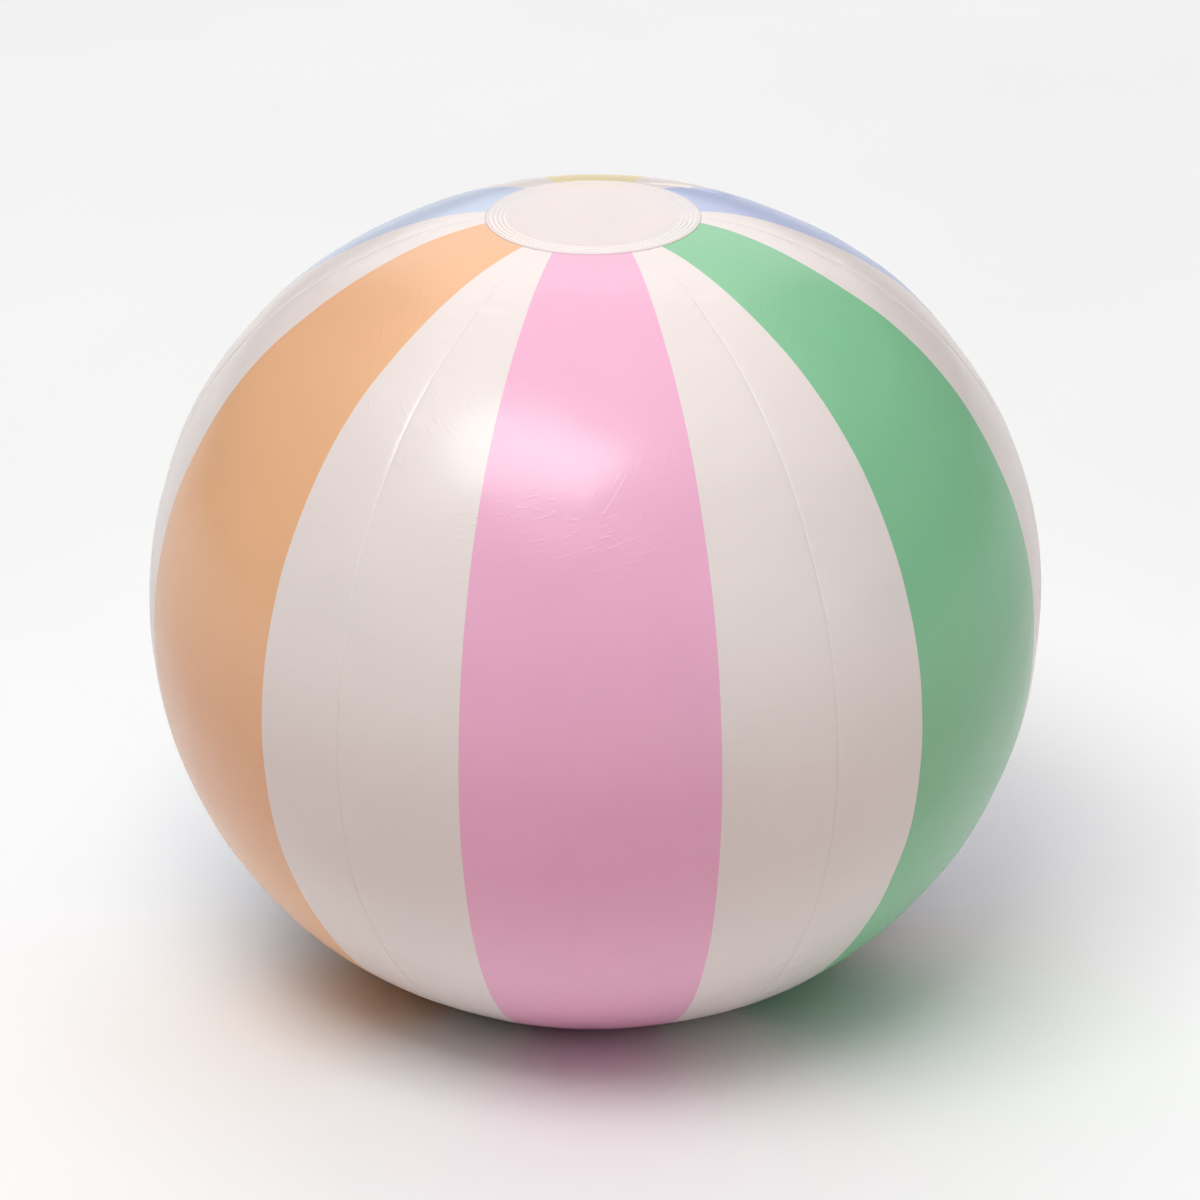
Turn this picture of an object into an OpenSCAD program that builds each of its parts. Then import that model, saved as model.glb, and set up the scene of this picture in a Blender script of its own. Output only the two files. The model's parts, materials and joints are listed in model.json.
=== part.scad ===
// Inflatable beach ball: six printed gores, two pole caps and a push-in air valve.
// The skin is thin soft vinyl film. Each gore has a fin turned inwards along both
// long edges, and neighbouring fins lie flat against each other as a weld seam.
// The round caps cover the gore tips. The valve sits in the rear gore.
// Z is up, the front faces -Y, and the origin is under the middle of the lower cap.

/* [Ball] */
// Diameter of the inflated ball at its widest
equator_d = 400; // [300:1:600]
// Radius of the side's curve above the widest level; less than half the diameter is flatter
upper_curve_r = 181.6; // [140:0.1:290]
// Radius of the side's curve below the widest level
lower_curve_r = 189; // [140:0.1:290]
// Width of the flattened patch that the ball rests on
base_flat_d = 172; // [120:1:220]

/* [Film and seams] */
// Number of gores around the ball
gore_count = 6; // [6:1:6]
// Thickness of the vinyl film
film_t = 0.4; // [0.3:0.05:0.8]
// Depth of the weld fin inside the ball
fin_depth = 4; // [2:0.5:8]
// How far outside the cap's edge the fins end
fin_end_gap = 6; // [2:0.5:15]

/* [Pole caps] */
// Diameter of each cap
cap_d = 94; // [60:1:120]
// Thickness of each cap
cap_t = 0.5; // [0.4:0.05:1]
// Diameter of the opening between the gore tips, under the cap
tip_hole_d = 62; // [30:1:80]
// Number of weld rings pressed into the cap
ring_count = 4; // [1:1:6]
// Distance from one weld ring to the next
ring_pitch = 2; // [1.5:0.1:4]
// Width of a weld ring
ring_w = 0.8; // [0.4:0.1:1.2]
// Depth of a weld ring
ring_depth = 0.15; // [0.05:0.05:0.25]

/* [Valve place and base] */
// Steepness of the film's outward direction at the valve
valve_deg = 40; // [28:1:70]
// Diameter of the hole in the film
valve_hole_d = 27; // [26:0.5:32]
// Outer diameter of the base that is welded inside the film
flange_d = 42; // [38:0.5:50]
// Inner diameter of the welded base
flange_bore_d = 24; // [23:0.5:25]
// Thickness of the welded base
flange_t = 0.6; // [0.4:0.1:1.2]
// Wall thickness of the rolling boot
boot_t = 0.5; // [0.4:0.05:1]

/* [Valve stem] */
// How far the stem pulls out of the ball
stem_travel = 12; // [6:0.5:14]
// Depth of the stem's mouth below the film when it is pushed in
mouth_depth = 1.6; // [1.5:0.1:3]
// Outer diameter of the stem
stem_d = 11; // [9.5:0.1:14]
// Length of the stem
stem_len = 17; // [14:0.5:22]
// Diameter of the collar at the mouth
collar_d = 14; // [12.5:0.1:18]
// Thickness of the collar
collar_t = 1.4; // [1:0.1:2.5]
// Diameter of the bore that takes a pump's nozzle
nozzle_d = 7; // [5:0.1:8]
// Diameter of the wider seat that takes the plug
seat_d = 8.4; // [6.4:0.1:9.5]
// Depth of the plug's seat
seat_depth = 4.4; // [3:0.1:6]
// Depth of the boot's bead below the mouth
bead_depth = 5.1; // [4:0.1:8]
// Height of the boot's bead
bead_h = 0.9; // [0.6:0.1:2]
// Diameter of the boot's bead
bead_d = 12.5; // [11:0.1:16]

/* [Plug and flap] */
// Diameter of the plug's head
head_d = 12; // [10:0.1:14]
// Thickness of the plug's head
head_t = 1.3; // [1:0.1:2]
// Gap between the head and the collar
head_gap = 0.15; // [0.1:0.05:0.3]
// Length of the plug's straight band
plug_band = 0.4; // [0.2:0.1:1]
// Gap between the plug and its seat at the mouth
plug_fit = 0.08; // [0.05:0.01:0.1]
// Diameter of the plug's tip
plug_tip_d = 6.4; // [5:0.1:7]
// Length of the plug below its head
plug_len = 4.1; // [2.5:0.1:5]
// Distance from the bore's middle to the strap's hinge
strap_reach = 8.2; // [8:0.1:8.6]
// Width of the strap
strap_w = 3.2; // [2:0.1:5]
// Thickness of the strap
strap_t = 0.8; // [0.5:0.1:1.5]
// Diameter of the round bar at the end of the strap
strap_bar_d = 1.8; // [1.4:0.1:2.5]
// Gap between a hinge's bar and its cradle
hinge_fit = 0.05; // [0.02:0.01:0.1]
// Length of the pull tab beyond the plug's head
tab_len = 3; // [1:0.1:5]
// Diameter of the check flap
flap_d = 9.4; // [8:0.1:12]
// Thickness of the check flap
flap_t = 0.8; // [0.5:0.1:1.5]
// Gap between the check flap and the end of the stem
flap_gap = 0.15; // [0.1:0.05:0.3]
// Distance from the bore's middle to the flap's hinge
flap_reach = 6.4; // [6:0.1:8]
// Diameter of the flap's hinge bar
flap_bar_d = 1.2; // [0.8:0.1:2]

/* [Hidden] */

// smooth rounding of the ball, of the small valve parts, and of the gently bowed base
ball_fn = 72;
part_fn = 48;
bowed_fn = 720;
// small overlap that joins shapes within one piece, and gap between two welded faces
join = 0.1;
weld_gap = 0.02;
// how far a tab, cradle or hook is rooted in the piece that it stands on
root = 1;

ball_r = equator_d / 2;
cap_r = cap_d / 2;
base_flat_r = base_flat_d / 2;
gore_deg = 360 / gore_count;
front_deg = -90;
// how far the flat film runs on past the place where the curved side meets its level
tip_step = 1;

// The side is one arc above the widest level and one below it. Both are upright at the
// widest level, and their centres lie on it.
upper_c = ball_r - upper_curve_r;
lower_c = ball_r - lower_curve_r;
crown_h = sqrt(pow(upper_curve_r, 2) - pow(cap_r - tip_step - upper_c, 2));
base_h = sqrt(pow(lower_curve_r, 2) - pow(base_flat_r - tip_step - lower_c, 2));
// height of the widest level above the floor
level_z = base_h + cap_t;

// place of the valve on the film
valve_y = upper_c + upper_curve_r * cos(valve_deg);
valve_z = level_z + upper_curve_r * sin(valve_deg);
valve_tilt = 90 - valve_deg;
// length of the cutter for the hole in the film
hole_cut = 6;
bowed_r = upper_curve_r - film_t;
flange_r = flange_d / 2;
flange_bore_r = flange_bore_d / 2;
flange_sag = flange_bore_r * flange_bore_r / (2 * bowed_r);
flange_top = -film_t - weld_gap - flange_sag;
// depth below the film that holds the whole bowed base
flange_room = 5;

stem_r = stem_d / 2;
collar_r = collar_d / 2;
nozzle_r = nozzle_d / 2;
seat_r = seat_d / 2;
bead_r = bead_d / 2;
bead_low = bead_depth + bead_h;

bar_r = strap_bar_d / 2;
bar_level = head_gap + strap_t / 2;
cradle_w = 4.6;
cradle_wall = 0.8;
cradle_h = 2.4;
cradle_r = strap_reach + bar_r + cradle_wall;
flap_bar_r = flap_bar_d / 2;
flap_level = -stem_len - flap_gap - flap_t / 2;
flap_w = 3.2;
hook_w = 4.4;
hook_wall = 0.9;
hook_r = flap_reach + flap_bar_r + hook_wall;
hook_h = 2.5;

// ---- shared shapes ----

// band of the ball's half section above the widest level, from radius r0 outwards and
// up to height h, between two depths below the outer surface
module side_band(curve_r, d_out, d_in, r0, h) {
    intersection() {
        translate([ball_r - curve_r, 0])
            difference() {
                circle(r = curve_r - d_out, $fn = ball_fn);
                circle(r = curve_r - d_in, $fn = ball_fn);
            }
        translate([r0, 0])
            square([ball_r, h]);
    }
}

// flat film from the tips' opening out to radius r, with its outer face at height h
module flat_band(r, h) {
    translate([tip_hole_d / 2, h - film_t])
        square([r - tip_hole_d / 2, film_t]);
}

module skin_section() {
    side_band(upper_curve_r, 0, film_t, cap_r - 2 * tip_step, crown_h);
    flat_band(cap_r, crown_h);
    mirror([0, 1]) {
        side_band(lower_curve_r, 0, film_t, base_flat_r - 2 * tip_step, base_h);
        flat_band(base_flat_r, base_h);
    }
}

module fin_section() {
    side_band(upper_curve_r, film_t - join, film_t + fin_depth, cap_r + fin_end_gap, crown_h);
    mirror([0, 1])
        side_band(lower_curve_r, film_t - join, film_t + fin_depth, base_flat_r + fin_end_gap,
                  base_h);
}

// weld fin on the side of the seam that faces back along the turning direction
module fin() {
    translate([0, -weld_gap, 0])
        rotate([90, 0, 0])
            linear_extrude(height = film_t)
                fin_section();
}

module gore(i) {
    translate([0, 0, level_z])
        rotate([0, 0, front_deg + (i - 0.5) * gore_deg]) {
            rotate_extrude(angle = gore_deg, $fn = ball_fn)
                skin_section();
            mirror([0, 1, 0])
                fin();
            rotate([0, 0, gore_deg])
                fin();
        }
}

// round cap with its inner face at z = 0 and weld rings in its outer face
module cap_disc() {
    difference() {
        cylinder(h = cap_t, r = cap_r, $fn = ball_fn);
        for (k = [1 : ring_count])
            translate([0, 0, cap_t - ring_depth])
                difference() {
                    cylinder(h = cap_t, r = cap_r - k * ring_pitch + ring_w / 2, $fn = ball_fn);
                    translate([0, 0, -join])
                        cylinder(h = cap_t + 2 * join, r = cap_r - k * ring_pitch - ring_w / 2,
                                 $fn = ball_fn);
                }
    }
}

// moves the film's outer surface at the valve to z = 0, with z outwards and y down the slope
module at_valve() {
    translate([0, valve_y, valve_z])
        rotate([-valve_tilt, 0, 0])
            children();
}

// the same, with z = 0 at the stem's mouth
module at_mouth() {
    at_valve()
        translate([0, 0, -mouth_depth])
            children();
}

// round bar across the valve, centred on the z axis' plane
module cross_bar(r, w) {
    rotate([0, 90, 0])
        cylinder(h = w, r = r, center = true, $fn = part_fn);
}

// ---- skin ----

module gore_pink() {
    color([0.97, 0.72, 0.86]) gore(0);
}

module gore_green() {
    color([0.55, 0.83, 0.64]) gore(1);
}

module gore_periwinkle() {
    color([0.68, 0.71, 0.90]) gore(2);
}

// the rear gore has the hole for the valve
module gore_yellow() {
    color([0.97, 0.88, 0.62])
        difference() {
            gore(3);
            at_valve()
                cylinder(h = hole_cut, r = valve_hole_d / 2, center = true, $fn = part_fn);
        }
}

module gore_sky() {
    color([0.70, 0.82, 0.95]) gore(4);
}

module gore_peach() {
    color([0.99, 0.76, 0.60]) gore(5);
}

module top_cap() {
    color([0.96, 0.96, 0.96])
        translate([0, 0, level_z + crown_h])
            cap_disc();
}

module bottom_cap() {
    color([0.94, 0.94, 0.94])
        translate([0, 0, cap_t])
            mirror([0, 0, 1])
                cap_disc();
}

// ---- valve ----

// gently bowed ring, welded to the inside of the film around the hole
module valve_flange() {
    color([0.92, 0.93, 0.94])
        at_valve()
            rotate_extrude($fn = part_fn)
                intersection() {
                    translate([0, -film_t - weld_gap - bowed_r])
                        difference() {
                            circle(r = bowed_r, $fn = bowed_fn);
                            circle(r = bowed_r - flange_t, $fn = bowed_fn);
                        }
                    translate([flange_bore_r, -flange_room])
                        square([flange_r - flange_bore_r, flange_room]);
                }
}

// thin cup from the welded base down to the stem's bead, which rolls as the stem travels
module valve_boot() {
    foot_top = -mouth_depth - bead_depth - (bead_h - boot_t) / 2;
    foot_r = bead_r + hinge_fit;
    // the cup's wall goes down past the cradle before it turns in
    bend_top = -mouth_depth - cradle_h - boot_t;
    bend_r = flange_bore_r - boot_t;
    color([0.86, 0.88, 0.90])
        at_valve()
            rotate_extrude($fn = part_fn)
                polygon([[flange_bore_r, flange_top],
                         [bend_r + boot_t / 2, bend_top - boot_t],
                         [foot_r + boot_t, foot_top - boot_t],
                         [foot_r, foot_top - boot_t],
                         [foot_r, foot_top],
                         [foot_r + boot_t / 2, foot_top],
                         [bend_r - boot_t / 2, bend_top],
                         [flange_bore_r - boot_t, flange_top]]);
}

// tube with a collar at the mouth, a seat for the plug, and a bore for a pump's nozzle
module valve_stem() {
    color([0.90, 0.91, 0.93])
        at_mouth()
            difference() {
                union() {
                    rotate_extrude($fn = part_fn)
                        polygon([[nozzle_r, -stem_len],
                                 [nozzle_r, -seat_depth],
                                 [seat_r, -seat_depth],
                                 [seat_r, 0],
                                 [collar_r, 0],
                                 [collar_r, -collar_t],
                                 [stem_r, -collar_t],
                                 [stem_r, -bead_depth],
                                 [bead_r, -bead_depth],
                                 [bead_r, -bead_low],
                                 [stem_r, -bead_low],
                                 [stem_r, -stem_len]]);
                    // cradle for the strap's bar
                    translate([-cradle_w / 2, collar_r - root, -cradle_h])
                        cube([cradle_w, cradle_r - collar_r + root, cradle_h]);
                    translate([-cradle_w / 2, strap_reach, -cradle_h])
                        cube([cradle_w, cradle_r - strap_reach, cradle_h + bar_level]);
                    // hook for the flap's bar
                    translate([-hook_w / 2, stem_r - root, -stem_len])
                        cube([hook_w, hook_r - stem_r + root, hook_h]);
                    translate([-hook_w / 2, flap_reach, flap_level])
                        cube([hook_w, hook_r - flap_reach, hook_h]);
                }
                translate([0, strap_reach, bar_level])
                    cross_bar(bar_r + hinge_fit, cradle_w + 2 * join);
                translate([0, flap_reach, flap_level])
                    cross_bar(flap_bar_r + hinge_fit, hook_w + 2 * join);
            }
}

// thin disc that closes the stem's inner end and swings inwards
module check_flap() {
    color([0.80, 0.82, 0.85])
        at_mouth()
            translate([0, 0, flap_level]) {
                cylinder(h = flap_t, d = flap_d, center = true, $fn = part_fn);
                translate([-flap_w / 2, flap_d / 2 - root, -flap_t / 2])
                    cube([flap_w, flap_reach - flap_d / 2 + root, flap_t]);
                translate([0, flap_reach, 0])
                    cross_bar(flap_bar_r, flap_w);
            }
}

// plug, head, pull tab and strap, moulded in one
module valve_plug() {
    top_r = seat_r - plug_fit;
    color([0.93, 0.94, 0.96])
        at_mouth() {
            translate([0, 0, head_gap])
                cylinder(h = head_t, d = head_d, $fn = part_fn);
            // straight band at the mouth, then a tapered tip
            translate([0, 0, -plug_band])
                cylinder(h = plug_band + head_gap + join, r = top_r, $fn = part_fn);
            translate([0, 0, -plug_len])
                cylinder(h = plug_len - plug_band, r1 = plug_tip_d / 2, r2 = top_r,
                         $fn = part_fn);
            translate([-strap_w / 2, head_d / 2 - root, head_gap])
                cube([strap_w, strap_reach - head_d / 2 + root, strap_t]);
            translate([0, strap_reach, bar_level])
                cross_bar(bar_r, strap_w);
            translate([-strap_w / 2, -head_d / 2 - tab_len, head_gap + head_t - strap_t])
                cube([strap_w, tab_len + root, strap_t]);
        }
}

gore_pink();
gore_green();
gore_periwinkle();
gore_yellow();
gore_sky();
gore_peach();
top_cap();
bottom_cap();
valve_flange();
valve_boot();
valve_stem();
check_flap();
valve_plug();
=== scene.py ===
import json
import math

import bmesh
import bpy
import numpy as np
from mathutils import Matrix, Vector


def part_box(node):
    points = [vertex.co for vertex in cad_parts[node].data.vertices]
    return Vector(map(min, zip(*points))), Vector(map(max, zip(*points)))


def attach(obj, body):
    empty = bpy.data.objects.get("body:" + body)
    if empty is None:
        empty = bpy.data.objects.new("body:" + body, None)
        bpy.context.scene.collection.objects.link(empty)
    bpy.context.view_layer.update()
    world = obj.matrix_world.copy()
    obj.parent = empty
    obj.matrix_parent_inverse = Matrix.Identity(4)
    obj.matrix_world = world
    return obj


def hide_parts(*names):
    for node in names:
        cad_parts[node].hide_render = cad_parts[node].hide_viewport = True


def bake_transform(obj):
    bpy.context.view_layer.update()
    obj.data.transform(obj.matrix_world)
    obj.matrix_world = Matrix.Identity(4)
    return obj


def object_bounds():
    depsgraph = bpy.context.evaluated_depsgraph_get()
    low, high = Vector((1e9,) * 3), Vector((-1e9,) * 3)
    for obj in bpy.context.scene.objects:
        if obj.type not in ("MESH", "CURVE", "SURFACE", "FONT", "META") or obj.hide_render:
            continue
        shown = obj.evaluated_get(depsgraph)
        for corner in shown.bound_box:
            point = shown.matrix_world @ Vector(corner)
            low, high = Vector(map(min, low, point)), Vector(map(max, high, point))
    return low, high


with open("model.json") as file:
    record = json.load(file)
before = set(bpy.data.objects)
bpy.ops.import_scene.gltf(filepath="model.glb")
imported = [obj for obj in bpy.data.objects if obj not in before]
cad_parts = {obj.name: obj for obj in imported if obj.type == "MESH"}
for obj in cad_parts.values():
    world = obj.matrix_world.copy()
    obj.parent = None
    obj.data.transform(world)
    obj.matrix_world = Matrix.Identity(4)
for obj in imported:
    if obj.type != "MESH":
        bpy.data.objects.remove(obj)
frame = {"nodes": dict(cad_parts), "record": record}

CAD_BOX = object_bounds()

# Lengths are in millimetres up to the moment a mesh is made, which turns them into metres.
MM = 0.001


def widest_level():
    """Height of the ball's widest level above the floor, from the frame."""
    verts = frame["nodes"]["gore_pink"].data.vertices
    widest = max(verts, key=lambda v: math.hypot(v.co.x, v.co.y))
    return widest.co.z / MM


# ---------------------------------------------------------------- sizes
GORES = ["pink", "green", "periwinkle", "yellow", "sky", "peach"]
GORE_DEG = 60
FRONT_DEG = -90
BALL_R = CAD_BOX[1][0] / MM
LEVEL = widest_level()
CAP_LOW, CAP_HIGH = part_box("top_cap")
CAP_R = CAP_HIGH.x / MM
CAP_T = (CAP_HIGH.z - CAP_LOW.z) / MM
CROWN_H = CAP_LOW.z / MM - LEVEL
BASE_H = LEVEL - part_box("bottom_cap")[1].z / MM
TIP_R = 31.0
BASE_R = 86.0
FILM_T = 0.4
FIN_DEPTH = 4.0
RING_STEP = 2
RING_RADII = (39, 41, 43, 45)

# The ball's side is two arcs above the widest level and two below it: the radius of the
# arc at the widest level, and the angle at which the other arc takes over.
UPPER_SIDE, UPPER_TURN = 187.7, math.radians(23.3)
LOWER_SIDE, LOWER_TURN = 196.4, math.radians(30.5)
# the shoulder around the cap lies this much lower than the arcs, most at that radius
SHOULDER_DROP, SHOULDER_R, SHOULDER_WIDTH = 1.6, 108.0, 38.0
# half width of a stripe on the film at radius r: STRIPE_GROWTH * r + STRIPE_TIP
STRIPE_GROWTH, STRIPE_TIP = 0.2478, 5.6

# how far each weld seam lies off its place, in degrees: seam i follows gore i
SEAM_TURN = (1.0, 0.3, -0.4, 0.5, -0.3, -2.1)

RNG = np.random.default_rng(20261117)


def smooth_step(a, b, x):
    t = np.clip((x - a) / (b - a), 0.0, 1.0)
    return t * t * (3 - 2 * t)


def bell(x):
    return np.exp(-0.5 * x * x)


# ---------------------------------------------------------------- the ball's half section
def side_arcs(side_r, turn, end_r, end_h):
    """Points (r, height) from the widest level to (end_r, end_h), on two arcs that meet
    smoothly at the turn."""
    out = np.array([math.cos(turn), math.sin(turn)])
    middle = np.array([BALL_R - side_r, 0.0])
    chord = np.array([end_r, end_h]) - middle - side_r * out
    second_r = -float(chord @ chord) / (2 * float(chord @ out))
    second_middle = middle + (side_r - second_r) * out
    end = math.atan2(end_h - second_middle[1], end_r - second_middle[0])
    t1 = np.linspace(0, turn, 400)
    t2 = np.linspace(turn, end, 1200)[1:]
    first = middle + side_r * np.c_[np.cos(t1), np.sin(t1)]
    second = second_middle + second_r * np.c_[np.cos(t2), np.sin(t2)]
    return np.vstack([first, second])


def blurred(values, sigma, step):
    half = int(4 * sigma / step)
    kernel = bell(np.arange(-half, half + 1) * step / sigma)
    padded = np.pad(values, half, mode="reflect", reflect_type="odd")
    return np.convolve(padded, kernel / kernel.sum(), mode="valid")


def half_section():
    """Arc length, radius, height above the floor and outward normal, from the upper gore
    tip to the lower one. The edges of the two flat places are rounded off."""
    step, lead_in = 0.25, 6.0
    crown_soft, base_soft, base_reach = 1.2, 5.0, 16.0
    upper = side_arcs(UPPER_SIDE, UPPER_TURN, CAP_R, CROWN_H)[::-1]
    shoulder = bell((upper[:, 0] - SHOULDER_R) / SHOULDER_WIDTH)
    upper[:, 1] -= SHOULDER_DROP * shoulder * smooth_step(CAP_R, SHOULDER_R, upper[:, 0])
    lower = side_arcs(LOWER_SIDE, LOWER_TURN, BASE_R, BASE_H) * np.array([1, -1])
    ends = [[[TIP_R - lead_in, CROWN_H]], [[TIP_R - lead_in, -BASE_H]]]
    pts = np.vstack([ends[0], upper, lower[1:], ends[1]])
    length = np.r_[0, np.cumsum(np.hypot(*np.diff(pts, axis=0).T))]
    s = np.arange(0, length[-1], step)
    r, z = np.interp(s, length, pts[:, 0]), np.interp(s, length, pts[:, 1])
    corner = s[np.argmin(np.abs(r - BASE_R) + 1000 * (z > 0))]
    near = np.exp(-(((s - corner) / base_reach) ** 2))
    r = blurred(r, crown_soft, step) * (1 - near) + blurred(r, base_soft, step) * near
    z = blurred(z, crown_soft, step) * (1 - near) + blurred(z, base_soft, step) * near
    keep = r >= TIP_R
    s, r, z = s[keep] - s[keep][0], r[keep], z[keep]
    dr, dz = np.gradient(r, s), np.gradient(z, s)
    size = np.hypot(dr, dz)
    return s, r, z + LEVEL, -dz / size, dr / size


SECTION = half_section()
LENGTH = SECTION[0][-1]
CAP_EDGE = CAP_R - TIP_R               # arc length at the upper cap's edge
BASE_EDGE = LENGTH - (BASE_R - TIP_R)  # arc length at the edge of the flat underside


def section_at(s):
    return tuple(np.interp(s, SECTION[0], column) for column in SECTION[1:])


def arc_at_height(height):
    """Arc length of the film at a height above the widest level."""
    return float(np.interp(-height, LEVEL - SECTION[2], SECTION[0]))


# ---------------------------------------------------------------- how the film departs from the section
def make_waves():
    """Slow waves of stretched film: direction with wave number, phase and size."""
    waves = []
    for wavelength, size in ((95, 0.10), (62, 0.07), (38, 0.035), (24, 0.016)):
        for _ in range(7):
            way = RNG.normal(size=3)
            way *= 2 * math.pi / wavelength / np.linalg.norm(way)
            waves.append((way, RNG.uniform(0, 2 * math.pi), size))
    return waves


WAVES = make_waves()


def undulation(p):
    out = np.zeros(p.shape[:-1])
    for way, phase, size in WAVES:
        out += size * np.sin(p @ way + phase)
    return out


class Seam:
    """One weld seam: how deep its crease is, and the short puckers that run out of it."""

    def __init__(self, index):
        rng = np.random.default_rng(500 + index)
        self.phase = rng.uniform(0, 2 * math.pi, 3)
        self.puckers = {-1: [], 1: []}
        for side in (-1, 1):
            at = 30.0
            while at < LENGTH - 40:
                at += rng.gamma(2.0, 7.5) + 2.5
                long = rng.random() < 0.16
                self.puckers[side].append({
                    "at": at,
                    "width": rng.uniform(1.2, 2.6),
                    "lean": rng.uniform(-0.6, 0.6),
                    "size": rng.uniform(0.05, 0.19) * (1.5 if long else 1.0),
                    "reach": rng.uniform(5, 14) * (1.8 if long else 1.0),
                    "way": rng.choice([-1.0, 1.0], p=[0.7, 0.3]),
                })

    def depth(self, s):
        a, b, c = self.phase
        uneven = np.sin(s / 17 + a) + 0.6 * np.sin(s / 7.3 + b) + 0.35 * np.sin(s / 4.1 + c)
        return (0.46 + 0.08 * uneven) * (0.3 + 0.7 * smooth_step(18, 60, s))

    def shift(self, side, s, x):
        """Displacement at arc length s and at distance x from the seam."""
        out = -self.depth(s) * (0.62 * np.exp(-x / 0.75) + 0.28 * np.exp(-x / 3.2)
                                + 0.10 * np.exp(-x / 11.0))
        for p in self.puckers[side]:
            near = np.abs(s - p["at"]) < 5 * p["width"] + 2.5 * abs(p["lean"]) * p["reach"]
            t, d = s[near], x[near]
            across = (t - p["at"] - p["lean"] * d) / p["width"]
            body = smooth_step(0.2, 2.5, d) * (1 - smooth_step(0.35 * p["reach"], p["reach"], d))
            ridge = bell(across) - 0.55 * bell((across - 1.9) / 1.1)
            out[near] += p["way"] * p["size"] * ridge * body
        return out


SEAMS = [Seam(i) for i in range(len(GORES))]


def make_creases():
    """Short dents pressed into the film: azimuth from the front, arc length, direction
    (0 is level, 90 straight down), length, width and depth."""
    creases = []
    # these have a height above the widest level in place of the arc length
    chosen = (
        (-14, 135, 52, 15, 0.9, 0.16), (-21.5, 112, 38, 12, 0.9, 0.12), (-32, 95, 5, 7, 0.8, 0.14),
        (-28.5, 96, 48, 7, 0.8, 0.12), (-23.5, 85, 40, 9, 0.9, 0.11), (-19, 80, 35, 13, 0.9, 0.11),
        (29, 95, -36, 12, 0.8, 0.15), (1, 94, 62, 11, 0.9, 0.10), (45, 134, 48, 10, 0.9, 0.13),
        (52, 60, 30, 9, 0.9, 0.09), (-8, 30, -40, 9, 0.9, 0.08), (38, 22, 25, 12, 0.9, 0.09),
        (139, 176, -46, 38, 0.9, 1.0),
    )
    for azimuth, height, way, length, width, depth in chosen:
        creases.append((azimuth, arc_at_height(height), math.radians(way), length, width, -depth))
    for _ in range(130):
        creases.append((
            RNG.uniform(-180, 180), RNG.uniform(40, LENGTH - 70), RNG.uniform(0, math.pi),
            RNG.uniform(4, 13), RNG.uniform(0.8, 1.4), RNG.uniform(0.03, 0.10) * RNG.choice([-1, 1]),
        ))
    return creases


CREASES = make_creases()


def crease_shift(azimuth, s, r):
    out = np.zeros_like(s)
    for at_azimuth, at, way, length, width, depth in CREASES:
        x = np.radians((azimuth - at_azimuth + 180) % 360 - 180) * r
        y = s - at
        near = (np.abs(x) < 1.5 * length) & (np.abs(y) < 1.5 * length)
        if not near.any():
            continue
        along = x[near] * math.cos(way) + y[near] * math.sin(way)
        across = y[near] * math.cos(way) - x[near] * math.sin(way) + 0.12 * along**2 / length
        ends = np.exp(-((2 * along / length) ** 4))
        ridge = bell(across / width) - 0.5 * bell((across - 1.7 * width) / width)
        out[near] += depth * ends * ridge
    return out


# ---------------------------------------------------------------- the valve's place
MOUNT = next(m for m in frame["record"]["mounts"] if m["name"] == "inflation_bore")
OUTWARD = Vector(MOUNT["axis"]).normalized()
DOWN_SLOPE = Vector((0, OUTWARD.z, -OUTWARD.y))
MOUTH_DEPTH = 1.6
STEM_LEN = 17.0
SEAT_DEPTH = 4.4
# the mount is the middle of the bore between its seat and its inner end
VALVE = Vector(MOUNT["pos_m"]) + OUTWARD * (MOUTH_DEPTH + (SEAT_DEPTH + STEM_LEN) / 2) * MM
AT_VALVE = Matrix((
    (1, 0, 0, VALVE.x),
    (0, DOWN_SLOPE.y, OUTWARD.y, VALVE.y),
    (0, DOWN_SLOPE.z, OUTWARD.z, VALVE.z),
    (0, 0, 0, 1),
))
AT_MOUTH = AT_VALVE @ Matrix.Translation((0, 0, -MOUTH_DEPTH * MM))
HOLE_R = 13.5
FLANGE_R = 21.0


def valve_shift(p):
    """The film over the valve's welded base: a slightly raised disc with pressed rings."""
    q = p - np.array(VALVE) / MM
    w = q @ np.array(OUTWARD)
    d = np.sqrt(np.maximum((q * q).sum(-1) - w * w, 0))
    rings = sum(bell((d - ring_r) / 0.45) for ring_r in (15.6, 17.6, 19.6))
    raised = 0.16 * (1 - smooth_step(FLANGE_R - 0.6, FLANGE_R + 0.8, d))
    return np.where((w > -12) & (d < 30), raised - 0.13 * rings, 0.0)


# ---------------------------------------------------------------- mesh helpers
def finished(obj, body, sharp_deg=35):
    """Outward faces, smooth shading with true edges, and a body to ride on."""
    bm = bmesh.new()
    bm.from_mesh(obj.data)
    bmesh.ops.recalc_face_normals(bm, faces=bm.faces)
    bm.to_mesh(obj.data)
    bm.free()
    obj.data.shade_smooth()
    obj.data.set_sharp_from_angle(angle=math.radians(sharp_deg))
    if body:
        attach(obj, body)
    return obj


def new_object(name, verts, faces):
    """An object from vertices in millimetres."""
    mesh = bpy.data.meshes.new(name)
    mesh.from_pydata((np.asarray(verts, float) * MM).tolist(), [], faces)
    obj = bpy.data.objects.new(name, mesh)
    bpy.context.scene.collection.objects.link(obj)
    return obj


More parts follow.
